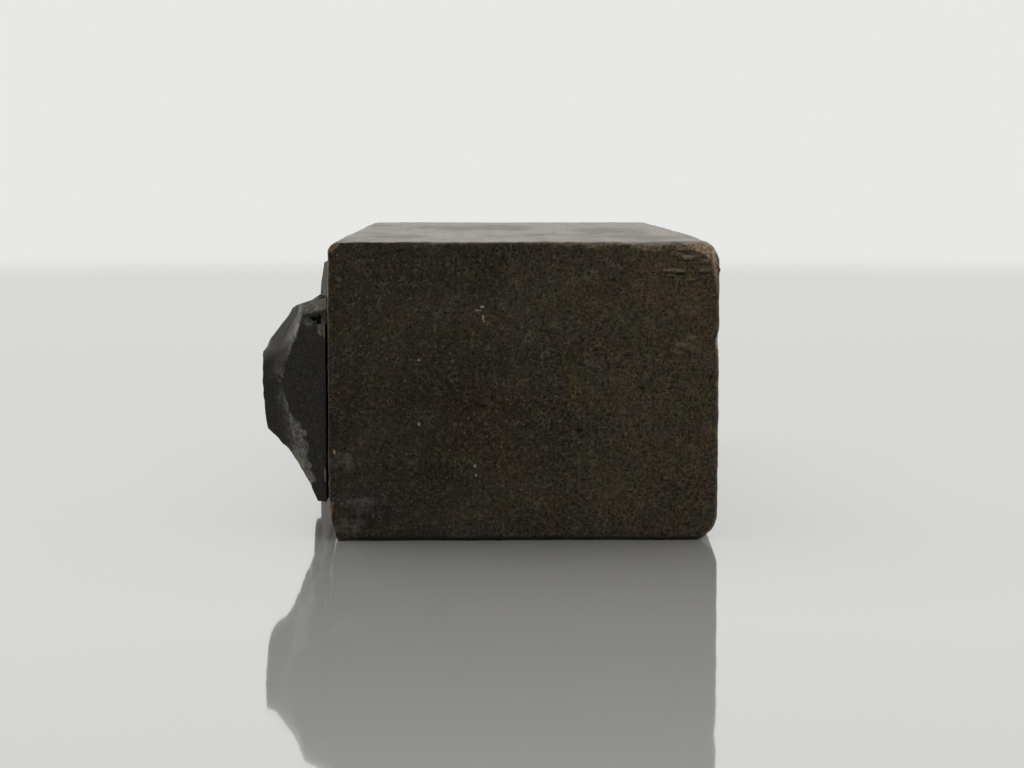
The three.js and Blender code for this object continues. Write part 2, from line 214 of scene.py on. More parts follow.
# Hollows broken into the front facet beside the first brad and into the lip: (height, up) and reach of
# each, then the same for the shining metal beside them
# In the finish the hollows are painted near black: painted shade.
BROKEN_HOLLOWS = (
    ((0.43, 11.4), (0.12, 0.25)), ((0.7, 11.44), (0.2, 0.13)), ((0.3, 12.56), (0.16, 0.13)),
)
BROKEN_DEPTH = 0.25
BROKEN_ALONG = (2.0, 1.8)
CRUMBLED_METAL = ((1.1, 11.26), (0.36, 0.26))
SHINING_RIM = ((0.33, 10.98), (0.24, 0.42))
# Heights above the table where the thin front edge is rubbed bright, and half the length of each
RUBBED_EDGES = ((10.8, 0.45), (3.4, 0.5))

# Figures on the plate
RULE_WIDTH = 0.4
FIGURE_ROUND = 0.05
FIGURE_EDGE = math.radians(30)
FIGURE_SIZES = {
    "Relief height": RELIEF_HEIGHT * MM,
    "Root depth": 0.3 * MM,
    "Draft": 0.35,
    "Rule width": RULE_WIDTH * MM,
}
BAND_CENTRE = 8.7
BAND_FRONT = TOE_REAR + 0.6
BAND_REAR = HEAD_FRONT - 0.6
LOZENGE_LENGTH = 1.6
LOZENGE_PITCH = 2.5
LOZENGE_SIDES = 4
DOT_SIDES = 10
RING_CENTRE = BAND_CENTRE - 1.05
RING_SIDES = 56
PETAL_SIDES = 10
EYE_SIDES = 16

# Brads: (along, up) of each, upper edge first
BRAD_UPPER = PLATE_TOP - 1.15
BRAD_LOWER = PLATE_FOOT + 1.2
BRAD_PLACES = (
    (PLATE_FRONT + 1.6, BRAD_UPPER), (PLATE_FRONT + 20, BRAD_UPPER), (PLATE_REAR - 1.3, BRAD_UPPER),
    (PLATE_FRONT + 8, BRAD_LOWER), (PLATE_FRONT + 20, BRAD_LOWER), (PLATE_REAR - 1.3, BRAD_LOWER),
)
# Outline of a brad from its point to its crown: radius, height above the wood
BRAD_OUTLINE = (
    (0, -8.85), (0.45, -7.45), (0.45, 1.05), (0.74, 1.15), (0.8, 1.22), (0.8, 1.35), (0.72, 1.45),
    (0.48, 1.54), (0.2, 1.57), (0, 1.54),
)
BRAD_SIDES = 24
BRAD_CREASE = math.radians(40)
BRAD_LEAN = math.radians(1.5)
BRAD_SEED = 7
BRAD_SEAT_RADIUS = 0.92
BRAD_SEAT_HEIGHT = 1.1
BRAD_SEAT_WALL_RISE = 9
# How far each brad is driven beyond the height of its seat, and aside. The first one is deep and a little
# askew, where the metal broke away at the trimmed end.
BRAD_DRIVEN = ((1.05, -0.2, -0.15), (0.45, 0, 0), *[(0, 0, 0)] * 4)

# Studio. The lamp's place and side are in metres.
BACKGROUND = (0.807, 0.807, 0.792, 1)
FLOOR_REACH = 346
FLOOR_FADE = 62
FLOOR_HALF_SIDE = 517
LAMP_PLACE = (-0.35, 0.3, 0.8)
LAMP_SIDE = 0.9
LAMP_POWER = 2.0
AMBIENT = 0.5
CAMERA_SIDE_SHADE = 0.3
HORIZON_SHADE = 0.87
ZENITH_LIGHT = 1.1


class Wire:
    """An output socket of a node tree, so that maths on values reads as Python."""

    def __init__(self, tree, socket):
        self.tree = tree
        self.socket = socket

    def node(self, kind, inputs=None, output=0, **settings):
        """Adds a node of any type, with its sockets' values or links and its settings."""
        made = self.tree.nodes.new(kind)
        for name, value in settings.items():
            setattr(made, name, value)
        feed(made, inputs or {})
        return Wire(self.tree, made.outputs[output])

    def maths(self, operation, first, second=0.0):
        return self.node("ShaderNodeMath", {0: first, 1: second}, operation=operation)

    def __add__(self, other):
        return self.maths("ADD", self, other)

    __radd__ = __add__

    def __sub__(self, other):
        return self.maths("SUBTRACT", self, other)

    def __rsub__(self, other):
        return self.maths("SUBTRACT", other, self)

    def __mul__(self, other):
        return self.maths("MULTIPLY", self, other)

    __rmul__ = __mul__

    def __truediv__(self, other):
        return self.maths("DIVIDE", self, other)

    def __neg__(self):
        return self.maths("MULTIPLY", self, -1.0)

    def __abs__(self):
        return self.maths("ABSOLUTE", self)


def feed(node, inputs):
    """Links wires to a node's inputs and sets plain values on them."""
    for key, value in inputs.items():
        if isinstance(value, Wire):
            value.tree.links.new(value.socket, node.inputs[key])
        else:
            node.inputs[key].default_value = value


def rises(value, low, high):
    """0 below low, 1 above high, and a smooth step between. Falls where low is above high."""
    step = {0: value, 1: low, 2: high}
    return value.node("ShaderNodeMapRange", step, interpolation_type="SMOOTHSTEP")


def blended(factor, under, over, mixing="MIX"):
    """One colour over another, by this share."""
    layers = {0: factor, 6: under, 7: over}
    return factor.node("ShaderNodeMix", layers, 2, data_type="RGBA", blend_type=mixing)


def tinted(factor, under, tint):
    """A colour multiplied by a tint, by this share."""
    return blended(factor, under, tint, "MULTIPLY")


def vector(wire, **axes):
    """A vector of values or wires."""
    return wire.node("ShaderNodeCombineXYZ", axes)


def axes_of(place):
    """The three coordinates of a place, one wire each."""
    parts = place.node("ShaderNodeSeparateXYZ", {0: place}).socket.node
    return [Wire(place.tree, parts.outputs[i]) for i in range(3)]


def scaled(place, across, along, up):
    """Coordinates with each axis stretched by its own factor."""
    return place.node("ShaderNodeVectorMath", {0: place, 1: (across, along, up)}, operation="MULTIPLY")


def cloud(place, frequency, detail=2.0, roughness=0.5):
    """Noise from 0 to 1, with about this many lumps in a unit of the coordinates."""
    sizes = {"Vector": place, "Scale": frequency, "Detail": detail, "Roughness": roughness}
    return place.node("ShaderNodeTexNoise", sizes, noise_dimensions="3D")


def cells(place, frequency):
    """Distance to the nearest of many scattered points."""
    return place.node("ShaderNodeTexVoronoi", {"Vector": place, "Scale": frequency})


def stored(place, name):
    """A value that the piece keeps for each of its points."""
    return place.node("ShaderNodeAttribute", output="Fac", attribute_name=name)


def raised(height, depth):
    """A bump of this height, in millimetres, for a shader's normal."""
    return height.node("ShaderNodeBump", {"Strength": 1.0, "Distance": depth * MM, "Height": height})


def new_finish(name):
    """An empty material, with its shader and the piece's bench coordinates in millimetres."""
    material = bpy.data.materials.new(name)
    material.use_nodes = True
    tree = material.node_tree
    shader = tree.nodes["Principled BSDF"]
    place = Wire(tree, tree.nodes.new("ShaderNodeTexCoord").outputs["Object"])
    millimetres = place.node("ShaderNodeVectorMath", {0: place, "Scale": 1 / MM}, operation="SCALE")
    corner = {0: millimetres, 1: tuple(WOOD_CORNER)}
    return material, shader, place.node("ShaderNodeVectorMath", corner, operation="SUBTRACT")


def marked(across, up, marks):
    """Several marks together: 1 about each, falling to 0 at its reach across and up."""
    whole = 0.0
    for centre, reach in marks:
        aside = (across - centre[0]) / reach[0]
        above = (up - centre[1]) / reach[1]
        whole = whole + rises(aside * aside + above * above, 1.0, 0.2)
    return whole


def end_grain_wood(bench, near_end, flecks, dust, blotches):
    """Colour and relief of the inked end grain, with the marks that the near end bears."""
    across, _, up = axes_of(bench)
    grain = scaled(bench, 1, 0.07, 1)
    motes = rises(cloud(grain, 6.2, 1.0), 0.63, 0.8)
    holes = rises(cloud(grain, 5.3, 1.0), 0.64, 0.8)
    curls = 1 - abs(2 * cloud(grain, 3.1, 1.0) - 1)
    fibres = rises(curls, 0.9, 0.99) * rises(cloud(grain, 1.3), 0.46, 0.62)
    pores = rises(cells(scaled(bench, 1, 0.05, 1), 2.4), 0.17, 0.07) * rises(flecks, 0.6, 0.45)
    ruddy = rises(cloud(grain, 0.75), 0.42, 0.62)
    olive = rises(cloud(scaled(bench, 0.9, 0.06, 0.8), 1.0), 0.46, 0.64)
    stain = cloud(grain, 0.22, 3.0, 0.55)
    dry_corner = rises(across, 11, 19) * rises(up, 11.5, 15)
    streaks = rises(cloud(scaled(bench, 1.1, 0.07, 6.5), 1.0, 2.0, 0.55), 0.5, 0.68)
    dryness = rises(across, 3, 19) - 0.35
    fine = 1.1 * (flecks - 0.5) + 1.5 * (dust - 0.5) + 1.2 * motes - 2.6 * holes + 0.7 * fibres
    lightness = 0.35 + (1.05 + 0.57 * dryness) * fine + 0.35 * (blotches - 0.5) + 0.7 * (stain - 0.5)
    lightness = lightness + 0.19 * dryness + 0.5 * dry_corner * streaks
    colour = blended(lightness, (0.0055, 0.0037, 0.001, 1), (0.094, 0.08, 0.053, 1))
    colour = blended(0.45 * motes, colour, (0.2, 0.17, 0.115, 1))
    ruddy_share = 0.68 * ruddy + 0.7 * near_end * marked(across, up, RUDDY_PATCHES)
    colour = tinted(ruddy_share, colour, (1.25, 0.93, 0.85, 1))
    colour = tinted(0.95 * olive, colour, (0.97, 1.03, 0.74, 1))
    colour = tinted(rises(across, 8, 19), colour, (1.05, 0.98, 0.92, 1))
    smudges = near_end * marked(across, up, GREY_SMUDGES) * rises(blotches + 0.4 * flecks, 0.5, 0.8)
    colour = tinted(0.9 * smudges, colour, (0.9, 1.0, 1.18, 1))
    pale = near_end * marked(across, up, PALE_SMUDGES) * rises(blotches + 0.6 * flecks, 0.6, 1.0)
    colour = blended(0.8 * pale, colour, (0.12, 0.108, 0.088, 1))
    colour = blended(0.8 * pores, colour, (0.003, 0.0025, 0.002, 1))
    # Painted shade in the pits.
    pits = near_end * marked(across, up, PAINTED_PIT_SHADE)
    colour = blended(0.95 * pits, colour, (0.001, 0.001, 0.001, 1))
    jitter = 0.16 * (cloud(grain, 5.0) - 0.5)
    specks = near_end * marked(across + jitter, up - jitter, PALE_SPECKS)
    colour = blended(0.8 * specks, colour, (0.36, 0.3, 0.22, 1))
    return colour, 0.55 * flecks + 0.25 * dust + 0.3 * fibres - 0.6 * pores


def side_grain_wood(bench):
    """Colour, relief and sheen of the long sides."""
    fibre = cloud(scaled(bench, 8, 0.22, 8), 1.0, 3.0, 0.65)
    rings = cloud(scaled(bench, 1.1, 0.035, 1.1), 1.0, 3.0, 0.55)
    dashes = rises(cloud(scaled(bench, 11, 0.8, 11), 1.0, 1.0), 0.62, 0.74)
    saw_marks = rises(cloud(scaled(bench, 0.14, 2.6, 0.14), 1.0), 0.5, 0.72)
    ink = rises(cloud(scaled(bench, 0.22, 0.09, 0.22), 1.0, 4.0, 0.65), 0.46, 0.62)
    tone = 0.5 + 1.3 * (fibre - 0.5) + 1.5 * (rings - 0.5) + 0.04 * saw_marks
    colour = blended(tone, (0.047, 0.029, 0.013, 1), (0.215, 0.148, 0.073, 1))
    colour = blended(0.55 * ink, colour, (0.035, 0.027, 0.019, 1))
    colour = blended(0.7 * dashes, colour, (0.012, 0.008, 0.005, 1))
    relief = 0.16 * fibre - 0.3 * dashes + 0.04 * saw_marks
    return colour, relief, 0.63 + 0.08 * saw_marks - 0.25 * ink


def stained_wood_finish():
    material, shader, bench = new_finish("stained_wood")
    across, along, up = axes_of(bench)
    normal = bench.node("ShaderNodeTexCoord", output="Normal")
    end_grain = rises(abs(axes_of(normal)[1]), 0.3, 0.7)
    near_end = end_grain * rises(along, 2.0, 1.0)
    grain = scaled(bench, 1, 0.07, 1)
    flecks = cloud(grain, 3.6, 4.0, 0.72)
    dust = cloud(grain, 6.5, 2.0, 0.7)
    blotches = cloud(grain, 1.2, 3.0, 0.6)
    end_colour, end_relief = end_grain_wood(bench, near_end, flecks, dust, blotches)
    side_colour, side_relief, sheen = side_grain_wood(bench)
    colour = blended(end_grain, side_colour, end_colour)
    corner = rises(across, 17.8, 19.2) * rises(up, 12.5, 14)
    chipped = rises(across, 1.2, 0.6) * rises(along, 1.4, 0.4)
    edges = corner + 0.6 * chipped + 0.25 * rises(across, 18, 19.6)
    exposed = (0.3 + 0.7 * rises(along, 12, 2) * rises(edges, 0, 1)) * rises(up, 0.15, 0.45)
    wear = stored(bench, "wear") + 0.14 * (flecks - 0.5) + 0.14 * (blotches - 0.5)
    scuffs = rises(wear, 0.04, 0.15)
    bare = blended(rises(dust, 0.35, 0.65), (0.17, 0.1, 0.056, 1), (0.43, 0.31, 0.19, 1))
    chip_tint = blended(rises(up, 1.6, 3), (1.0, 0.5, 0.3, 1), (0.62, 0.44, 0.46, 1))
    colour = blended(0.9 * scuffs * exposed, colour, tinted(chipped, bare, chip_tint))
    pale_lips = stored(bench, "lips") * rises(flecks + dust, 0.75, 1.05)
    colour = blended(0.85 * pale_lips, colour, (0.27, 0.23, 0.145, 1))
    # Painted shadow: the foot of the near end is painted near black where the block meets the table.
    painted_foot_shadow = near_end * rises(up, 0.3, 0.1) * rises(across, 0.8, 1.6)
    colour = blended(0.9 * painted_foot_shadow, colour, (0.001, 0.001, 0.001, 1))
    roughness = 0.52 + 0.2 * (flecks - 0.5) + 0.14 * (blotches - 0.5)
    relief = end_grain * end_relief + (1 - end_grain) * side_relief
    coat = sheen * (1 - end_grain) * (1 - 0.8 * scuffs * exposed)
    feed(shader, {"Base Color": colour, "Roughness": roughness, "Normal": raised(relief, 0.07)})
    feed(shader, {"Coat Weight": coat, "Coat Roughness": 0.3, "Specular IOR Level": 0.25})
    return material


def type_metal_finish():
    material, shader, bench = new_finish("type_metal")
    across, along, _ = axes_of(bench)
    mottle = cloud(bench, 1.1, 4.0, 0.6)
    grain = cloud(bench, 6.0, 3.0, 0.65)
    specks = cloud(bench, 12.0, 2.0, 0.6)
    tarnish = rises(cloud(bench, 1.7, 3.0, 0.6), 0.46, 0.62)
    pits = rises(cells(bench, 3.2), 0.22, 0.08) * rises(mottle, 0.45, 0.65)
    scrapes = cloud(scaled(bench, 9, 1.4, 1.2), 1.0, 3.0, 0.6)
    printing = rises(-across, FIELD_HEIGHT + 0.45, PRINTING_HEIGHT - 0.05) * rises(along, 2.9, 5.2)
    # Painted light: a pale band over the head's front wall, which faces the dim side, so that the wall
    # looks lit;
    painted_wall_light = rises(along, HEAD_FRONT - 0.2, HEAD_FRONT - 0.05)
    # the metallic share is taken away there too.
    painted_wall_light = painted_wall_light * rises(along, HEAD_FRONT + 0.3, HEAD_FRONT + 0.15)
    lightness = 0.35 * mottle + 0.5 * rises(grain, 0.34, 0.66) + 0.3 * rises(specks, 0.34, 0.66) - 0.08
    colour = blended(lightness, (0.004, 0.0037, 0.0028, 1), (0.044, 0.041, 0.032, 1))
    colour = blended(0.4 * tarnish, colour, (0.032, 0.02, 0.016, 1))
    shine = 0.35 * mottle + 0.3 * rises(grain, 0.3, 0.7) + 0.35 * rises(scrapes, 0.4, 0.7)
    metal = blended(shine, (0.08, 0.077, 0.065, 1), (0.5, 0.48, 0.41, 1))
    # The stored bare share also carries painted light and shade on the near end's facets.
    clean = stored(bench, "bare") * (0.55 + 0.9 * rises(mottle + 0.6 * (grain - 0.5), 0.35, 0.65))
    colour = blended(clean, colour, metal)
    rubbed = rises(stored(bench, "wear") + 0.5 * (grain - 0.5), 0.35, 0.8)
    colour = blended(0.65 * rubbed, colour, (0.24, 0.23, 0.2, 1))
    wiped = printing * (0.3 + 0.5 * rises(mottle, 0.35, 0.65))
    colour = blended(wiped, colour, (0.12, 0.117, 0.108, 1))
    colour = blended(0.9 * painted_wall_light, colour, (0.3, 0.295, 0.27, 1))
    colour = blended(0.7 * pits, colour, (0.003, 0.003, 0.0025, 1))
    # Painted shade: the broken hollows are painted near black on top of their dent.
    colour = blended(0.75 * stored(bench, "hollow"), colour, (0.004, 0.0025, 0.002, 1))
    roughness = 0.64 + 0.2 * (grain - 0.5) + 0.16 * (mottle - 0.5) - 0.16 * printing
    relief = 0.4 * grain + 0.35 * scrapes + 0.5 * mottle - 0.6 * pits
    feed(shader, {"Base Color": colour, "Roughness": roughness, "Metallic": 0.6 * clean * (1 - painted_wall_light)})
    feed(shader, {"Normal": raised(relief, 0.045), "Specular IOR Level": 0.25})
    return material


def brad_steel_finish():
    material, shader, bench = new_finish("brad_steel")
    rust = rises(cloud(bench, 2.2, 4.0, 0.65), 0.4, 0.62)
    grain = cloud(bench, 9.0, 3.0, 0.6)
    steel = blended(grain, (0.1, 0.095, 0.09, 1), (0.24, 0.23, 0.215, 1))
    brown = blended(grain, (0.035, 0.018, 0.01, 1), (0.11, 0.058, 0.03, 1))
    roughness = 0.38 + 0.35 * rust + 0.1 * (grain - 0.5)
    relief = raised(0.6 * grain + 0.5 * rust, 0.04)
    feed(shader, {"Base Color": blended(rust, steel, brown), "Roughness": roughness})
    feed(shader, {"Metallic": 0.9 - 0.7 * rust, "Normal": relief})
    return material


def floor_finish():
    material, shader, bench = new_finish("pale_table")
    flat = scaled(bench, 1, 1, 0)
    distance = bench.node("ShaderNodeVectorMath", {0: flat}, "Value", operation="LENGTH")
    feed(shader, {"Alpha": rises(distance, FLOOR_REACH + FLOOR_FADE, FLOOR_REACH - FLOOR_FADE)})
    feed(shader, {"Base Color": (0.76, 0.76, 0.74, 1), "Roughness": 0.06})
    feed(shader, {"Coat Weight": 1.0, "Coat Roughness": 0.02})
    return material


def placed(name, data):
    """A new object in the scene."""
    made = bpy.data.objects.new(name, data)
    bpy.context.scene.collection.objects.link(made)
    return made


def meshed(name, points, faces=()):
    """A new mesh object of points in metres."""
    mesh = bpy.data.meshes.new(name)
    mesh.from_pydata(points, [], faces)
    return placed(name, mesh)


def plain_object(name, points, faces, finish):
    """A smooth mesh object of points in bench millimetres."""
    made = meshed(name, (np.asarray(points) + WOOD_CORNER) * MM, faces)
    made.data.materials.append(finish)
    made.data.shade_smooth()
    return made


def store(piece, name, values):
    """Keeps a value for each point of a piece, for its material to read."""
    attribute = piece.data.attributes.new(name, "FLOAT", "POINT")
    attribute.data.foreach_set("value", np.asarray(values, np.float32))


def lattice_value(cell, seed):
    """A repeatable value from 0 to 1 for each cell of a lattice."""
    mixed = (cell * np.array([73856093, 19349663, 83492791])).sum(axis=1) + seed * 7919
    mixed = (mixed ^ (mixed >> 13)) * 1274126177
    return ((mixed ^ (mixed >> 16)) & 0xFFFFF) / 0xFFFFF


def lumps(points, size, seed):
    """Smooth noise from -1 to 1, with lumps of about this size in millimetres."""
    place = np.asarray(points, float) / size
    cell = np.floor(place).astype(np.int64)
    part = place - cell
    part = part * part * (3 - 2 * part)
    total = np.zeros(len(place))
    for corner in np.ndindex(2, 2, 2):
        share = np.where(np.array(corner) == 1, part, 1 - part).prod(axis=1)
        total += share * lattice_value(cell + np.array(corner), seed)
    return 2 * total - 1


def eased(value, low, high):
    """The same step as rises, on arrays."""
    part = np.clip((value - low) / (high - low), 0, 1)
    return part * part * (3 - 2 * part)


def fading(distance, reach):
    """1 at no distance, and hardly anything left at twice the reach."""
    return np.exp(-((distance / reach) ** 2))


def read_off(value, outline, **ends):
    """What an outline of (value, result) points gives, in straight lines between them."""
    return np.interp(value, *np.array(outline).T, **ends)


def ruled(start, *runs):
    """Grid lines from a start through runs of (end, spacing) laid end to end."""
    lines = [start]
    for end, spacing in runs:
        count = max(1, round((end - start) / spacing))
        lines.extend(start + (end - start) * (i + 1) / count for i in range(count))
        start = end
    return np.array(lines)


def box_skin(*lines):
    """Points and outward quads of a box whose faces are ruled by lines along X, Y and Z."""
    counts = [len(axis_lines) for axis_lines in lines]
    skin = np.zeros(counts, bool)
    for axis in range(3):
        side = [slice(None)] * 3
        for end in (0, -1):
            side[axis] = end
            skin[tuple(side)] = True
    number = np.full(counts, -1)
    number[skin] = np.arange(skin.sum())
    points = np.stack(np.meshgrid(*lines, indexing="ij"), axis=-1)[skin]
    quads = []
    for axis in range(3):
        for end in (0, -1):
            face = np.take(number, end, axis=axis)
            ring = [face[:-1, :-1], face[1:, :-1], face[1:, 1:], face[:-1, 1:]]
            ring = np.stack(ring, axis=-1).reshape(-1, 4)
            looks_back = (end == 0) != (axis == 1)
            quads.append(ring[:, ::-1] if looks_back else ring)
    return points, np.concatenate(quads)


def rounded(first, second, radius):
    """Depth outside two faces that meet in an edge worn to this radius."""
    beyond = np.hypot(np.maximum(first + radius, 0), np.maximum(second + radius, 0))
    return np.minimum(np.maximum(first, second), -radius) + beyond


def near_end_round(across, up, wander, ragged):
    """Rounding of the near end's edges."""
    shares = [eased(across, *sides) * eased(up, *heights) for _, sides, heights in NEAR_END_WEAR]
    radius = END_ROUND + END_WANDER * wander + TOP_EDGE_RAGGED * ragged * shares[0]
    radius += sum(wear[0] * share for wear, share in zip(NEAR_END_WEAR, shares))
    return np.maximum(radius, LEAST_ROUND)


def outside_wood(place, wander, ragged):
    """Depth of each place outside the worn block, below zero inside it."""
    across, along, up = place.T
    plate_side, back = -across, across - WOOD_THICKNESS - BACK_GROWTH
    foot, top = -up, up - WOOD_WIDTH
    section = np.full(len(place), -np.inf)
    for first, second, (near, far, reach, uneven) in (
        (plate_side, top, PLATE_TOP_EDGE),
        (back, top, BACK_TOP_EDGE),
        (back, foot, BACK_FOOT_EDGE),
        (plate_side, foot, PLATE_FOOT_EDGE),
    ):
        radius = far + (near - far) * fading(along, reach) + uneven * wander
        section = np.maximum(section, rounded(first, second, radius))
    slope = math.hypot(FOOT_WEAR_WIDTH, FOOT_WEAR_HEIGHT)
    worn_foot = FOOT_WEAR_WIDTH * (FOOT_WEAR_HEIGHT - up) - FOOT_WEAR_HEIGHT * across
    depth = rounded(section, -along, near_end_round(across, up, wander, ragged))
    depth = np.maximum(depth, rounded(section, along - WOOD_LENGTH, FAR_END_ROUND))
    depth = np.maximum(depth, worn_foot / slope + FOOT_WEAR_WANDER * wander)
    for centre, radius in WOOD_CHIPS:
        from_chip = np.linalg.norm(place - np.array(centre), axis=1)
        depth = np.maximum(depth, radius - from_chip + 0.5 * ragged)
    from_splinter = np.linalg.norm(place - np.array(SPLINTER_PLACE), axis=1)
    depth -= SPLINTER_HEIGHT * fading(from_splinter, SPLINTER_SIZE)
    return depth + ragged * (0.35 + 0.65 * fading(along, NEAR_WEAR_REACH))


def end_cracks(points):
    """How far drying cracks open the near end, and how pale their upper lips are."""
    across, along, up = points.T
    depth = np.zeros(len(points))
    lips = np.zeros(len(points))
    waver = CRACK_WAVER * lumps(points * np.array([1, 0, 0]), 0.45, 31)
    for height, start, end, deep in END_CRACKS:
        within = eased(across, start, start + 0.4) * eased(across, end, end - 0.3)
        above = (up - height - waver) / CRACK_WIDTH
        depth += CRACK_OPENING * deep * within * fading(above, 1)
        lips += deep / CRACK_DEEP * within * fading(above - CRACK_LIP_RISE, 1)
    near_face = along < 0.3
    return depth * near_face, lips * near_face


def wood_block(finish):
    points, quads = box_skin(
        ruled(0, (1, 0.07), (17.4, 0.17), (WOOD_THICKNESS, 0.065)),
        ruled(0, (1.2, 0.07), (WOOD_LENGTH - 0.8, 0.75), (WOOD_LENGTH, 0.1)),
        ruled(0, (1.2, 0.08), (13.2, 0.16), (WOOD_WIDTH, 0.065)),
    )
    size = np.array([WOOD_THICKNESS, WOOD_LENGTH, WOOD_WIDTH])
    inward = np.clip(points, SKELETON_INSET, size - SKELETON_INSET) - points
    inward /= np.linalg.norm(inward, axis=1)[:, None]
    wander = lumps(points, 3.0, 1) + 0.5 * lumps(points, 1.1, 2)
    ragged = 0.025 * lumps(points, 0.8, 3) + 0.02 * lumps(points, 0.3, 4)
    moved = np.zeros(len(points))
    for _ in range(SETTLING_ROUNDS):
        place = points + inward * moved[:, None]
        moved += SETTLING_STEP * outside_wood(place, wander, ragged)
    planed = 0.03 * lumps(points * np.array([1, 0.25, 1]), 3.5, 5)
    cracks, crack_lips = end_cracks(points)
    worn = points + inward * (moved + planed + cracks)[:, None]
    worn[:, 2] = np.maximum(worn[:, 2], 0)
    piece = plain_object("worn_wood", worn, quads, finish)
    store(piece, "wear", moved)
    store(piece, "lips", crack_lips)
    return piece


def soft_min(first, second, round_over):
    """The lower of two heights, with the edge where they meet rounded over."""
    near = np.maximum(round_over - np.abs(first - second), 0) / round_over
    return np.minimum(first, second) - near * near * round_over / 4


def long_section(along, up, ragged):
    """Height of the plate's long form, before its near end is cut."""
    drawn = up
    for depth, rows, foot, top in WAISTS:
        drawn = drawn + depth * eased(along, *rows) * eased(up, *foot) * eased(up, *top)
    section = read_off(drawn, SECTION)
    toe = eased(along, TOE_REAR + TOE_STEP, TOE_REAR)
    section = np.minimum(section, FIELD_HEIGHT + toe * (TOE_HEIGHT - FIELD_HEIGHT)) + ragged
    crown = read_off(up, TOP_EDGE, left=0) + ragged
    return section + eased(along, *TOP_EDGE_ALONG) * np.maximum(crown - section, 0)


def near_end_cuts(along, up, ragged):
    """Heights of the front facet, of what lies behind it and of the lip, and where facets end."""
    front_reach = read_off(up, FRONT_REACH)
    scraped_reach = read_off(up, SCRAPED_REACH)
    scraped_reach = np.where(up > SCRAPED_REACH[-1][0], front_reach, scraped_reach)
    scraped_reach = np.maximum(scraped_reach, front_reach)
    front_end = FRONT_FOOT + FRONT_RUN * front_reach
    scraped_end = front_end + (scraped_reach - front_reach) / SCRAPED_RISE
    front = (along - FRONT_FOOT) / FRONT_RUN
    edge_line = np.stack([up, 0 * up, 0 * up], axis=1)
    jagged = JAGGED_DEPTH * lumps(edge_line, 0.24, 14) * eased(up, *JAGGED_UP)
    scraped = front_reach + SCRAPED_RISE * (along - front_end)
    scraped += jagged * eased(along, scraped_end, 0.5 * (front_end + scraped_end) - 0.01)
    facet_top = np.minimum(read_off(np.minimum(up, TOP_EDGE[0][0]), SECTION), TOE_HEIGHT)
    upper_rise = (facet_top - front_reach) / (read_off(up, UPPER_BACK) - front_end)
    nose = scraped_reach + np.where(up > NOSE_TOP, upper_rise, NOSE_RISE) * (along - scraped_end)
    behind = np.where(along < scraped_end, scraped, nose) + 0.7 * ragged
    lip = LIP_PLACE[2] + LIP_RISE_UP * (up - LIP_PLACE[1]) + LIP_RISE_ALONG * (along - LIP_PLACE[0])
    return front, behind, lip + ragged, front_end, scraped_end


def trimmed_height(along, up, ragged):
    """Height of the trimmed plate above the wood, and how bare its metal is, partly painted light set
    facet by facet.
    """
    section = long_section(along, up, ragged)
    front, behind, lip, front_end, scraped_end = near_end_cuts(along, up, ragged)
    long_form = soft_min(section, behind, ARRIS_ROUND)
    height = soft_min(long_form, soft_min(lip, front, ARRIS_ROUND), ARRIS_ROUND)
    from_ridge = along - front_end
    upper_facet = eased(up, NOSE_TOP + 1.5, NOSE_TOP + 2.9) * eased(from_ridge, 1.9, 0.8)
    ridge_foot = eased(up, NOSE_TOP - 0.1, NOSE_TOP + 0.5) * eased(from_ridge, 0.6, 0.1)
    below_nose = eased(up, NOSE_TOP, NOSE_TOP - 0.9) * eased(along - scraped_end, 0.4, 0.0)
    # Painted light: the facets' bare shares also paint each facet lighter or darker as light falls on it.
    bare = np.maximum(UPPER_BARE_AND_PAINTED_LIGHT * upper_facet, RIDGE_FOOT_BARE_AND_PAINTED_LIGHT * ridge_foot)
    bare = np.maximum(bare, BELOW_NOSE_BARE_AND_PAINTED_LIGHT * below_nose)
    bare = np.where(along < scraped_end, SCRAPED_BARE_AND_PAINTED_LIGHT, bare)
    bare = np.where(section < behind, 0.3 * bare, bare)
    bare = np.where(front < np.minimum(behind, lip), 0.0, bare)
    bare = np.where(lip < np.minimum.reduce([front, behind, section]), LIP_BARE_AND_PAINTED_LIGHT, bare)
    # Painted highlight: a bright line along the lower ridge.
    ridge = eased(up, NOSE_TOP - 0.35, NOSE_TOP - 0.75) * eased(up, 5.4, 6.0)
    return height, np.maximum(bare, LOWER_RIDGE_BARE_AND_HIGHLIGHT * ridge * fading(from_ridge - 0.02, 0.045))


def head_height(along, up):
    """Height of the untrimmed head at the far end of the plate."""
    steep = FIELD_HEIGHT / EDGE_SLOPE
    edge = np.minimum.reduce([PLATE_REAR - along, up - PLATE_FOOT, HEAD_TOP - up]) * steep + EDGE_FOOT
    walls = np.minimum((along - HEAD_FRONT) * steep, edge)
    crown = FIELD_HEIGHT - HEAD_SLOPE * np.maximum(up - HEAD_SLOPE_FOOT, 0)
    return soft_min(walls, crown, HEAD_EDGE_ROUND)


def bored_height(along, up, ragged):
    """Height that the brads' sunk seats leave. The first brad's seat is broken away."""
    bored = np.full(len(up), np.inf)
    for (brad_along, brad_up), (deeper, _, _) in zip(BRAD_PLACES[1:], BRAD_DRIVEN[1:]):
        reach = np.hypot(along - brad_along, up - brad_up) + 0.6 * ragged
        wall = BRAD_SEAT_WALL_RISE * np.maximum(reach - BRAD_SEAT_RADIUS, 0)
        bored = np.minimum(bored, BRAD_SEAT_HEIGHT - deeper + wall)
    return bored


def out_of(height, up, mark):
    """Distance from a mark's place on the plate, in shares of its reach."""
    (mark_height, mark_up), (reach_height, reach_up) = mark
    return np.hypot((height - mark_height) / reach_height, (up - mark_up) / reach_up)


